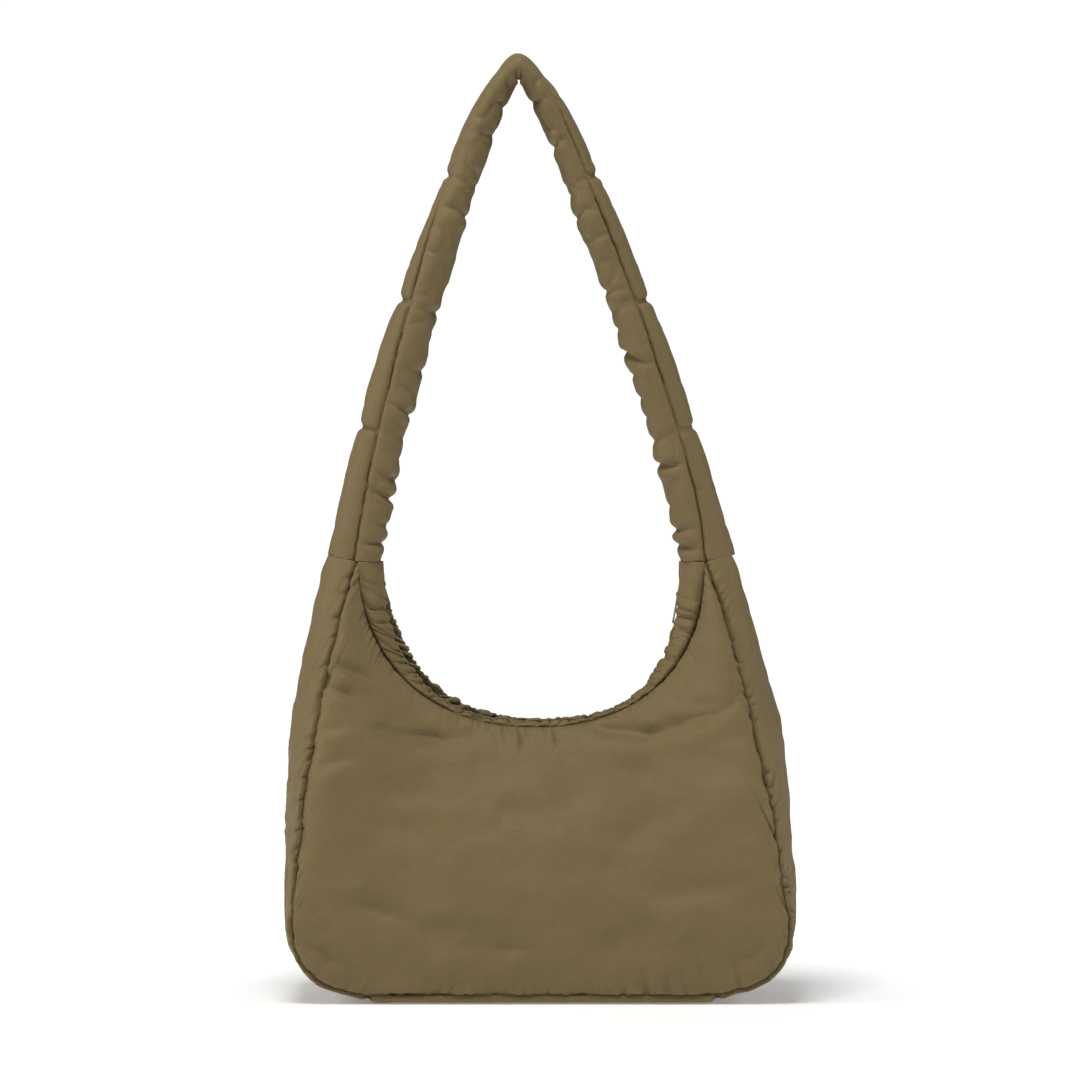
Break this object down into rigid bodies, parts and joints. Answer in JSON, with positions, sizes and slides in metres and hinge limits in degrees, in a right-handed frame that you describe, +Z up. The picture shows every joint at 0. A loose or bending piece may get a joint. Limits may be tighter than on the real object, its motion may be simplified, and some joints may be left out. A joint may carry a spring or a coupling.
{
  "type": "hobo bag",
  "caption": "Padded nylon hobo shoulder bag with a scooped zipped mouth, gusseted sides and base, and a quilted tubular strap",
  "frame": {"origin": "middle of the bag's underside on the floor", "axes": "+X to the bag's right as seen from the front, +Y to the back, +Z up"},
  "size_m": [0.3485, 0.1226, 0.6435],
  "materials": {
    "shell_nylon": "khaki crinkled nylon with a soft sheen",
    "wadding": "white polyester wadding",
    "lining": "plain khaki lining",
    "label": "blank white satin label",
    "zip_tape": "dark khaki woven tape",
    "zip_metal": "polished silver nickel"
  },
  "bodies": {
    "bag": {"front_panel": "shell_nylon", "front_wadding": "wadding", "front_lining": "lining", "back_panel": "shell_nylon", "back_wadding": "wadding", "back_lining": "lining", "side_gusset_left": "shell_nylon", "side_wadding_left": "wadding", "side_lining_left": "lining", "side_gusset_right": "shell_nylon", "side_wadding_right": "wadding", "side_lining_right": "lining", "base_gusset": "shell_nylon", "base_wadding": "wadding", "base_lining": "lining", "inner_pocket": "lining", "care_label": "label", "zip_end_left": "zip_tape", "zip_end_right": "zip_tape", "zip_stop_left": "zip_metal", "zip_stop_right": "zip_metal"},
    "mouth_front": {"front_rim": "shell_nylon", "zip_tape_front": "zip_tape", "zip_teeth_front": "zip_metal"},
    "mouth_back": {"back_rim": "shell_nylon", "zip_tape_back": "zip_tape", "zip_teeth_back": "zip_metal"},
    "slider": {"zip_slider": "zip_metal"},
    "pull": {"zip_pull": "zip_metal"},
    "strap": {"strap_outer_panel": "shell_nylon", "strap_inner_panel": "shell_nylon", "strap_wadding": "wadding"}
  },
  "joints": [
    {"name": "strap_swing", "type": "hinge", "parent": "bag", "child": "strap", "pos_m": [0, 0, 0.3146], "axis": [1, 0, 0], "range_deg": [-90, 90]},
    {"name": "mouth_open", "type": "hinge", "parent": "bag", "child": "mouth_front", "pos_m": [0, 0, 0.297], "axis": [-1, 0, 0], "range_deg": [0, 14]},
    {"name": "mouth_open_back", "type": "hinge", "parent": "bag", "child": "mouth_back", "pos_m": [0, 0, 0.297], "axis": [1, 0, 0], "range_deg": [0, 14]},
    {"name": "zip_slide", "type": "hinge", "parent": "bag", "child": "slider", "pos_m": [-0.00587, 0, 0.292], "axis": [0, 1, 0], "range_deg": [0, 160]},
    {"name": "pull_swing", "type": "hinge", "parent": "slider", "child": "pull", "pos_m": [0.09399, 0, 0.27439], "axis": [0, 1, 0], "range_deg": [0, 120]}
  ],
  "couplings": [
    {"joint": "mouth_open_back", "follows": "mouth_open", "ratio": 1}
  ]
}
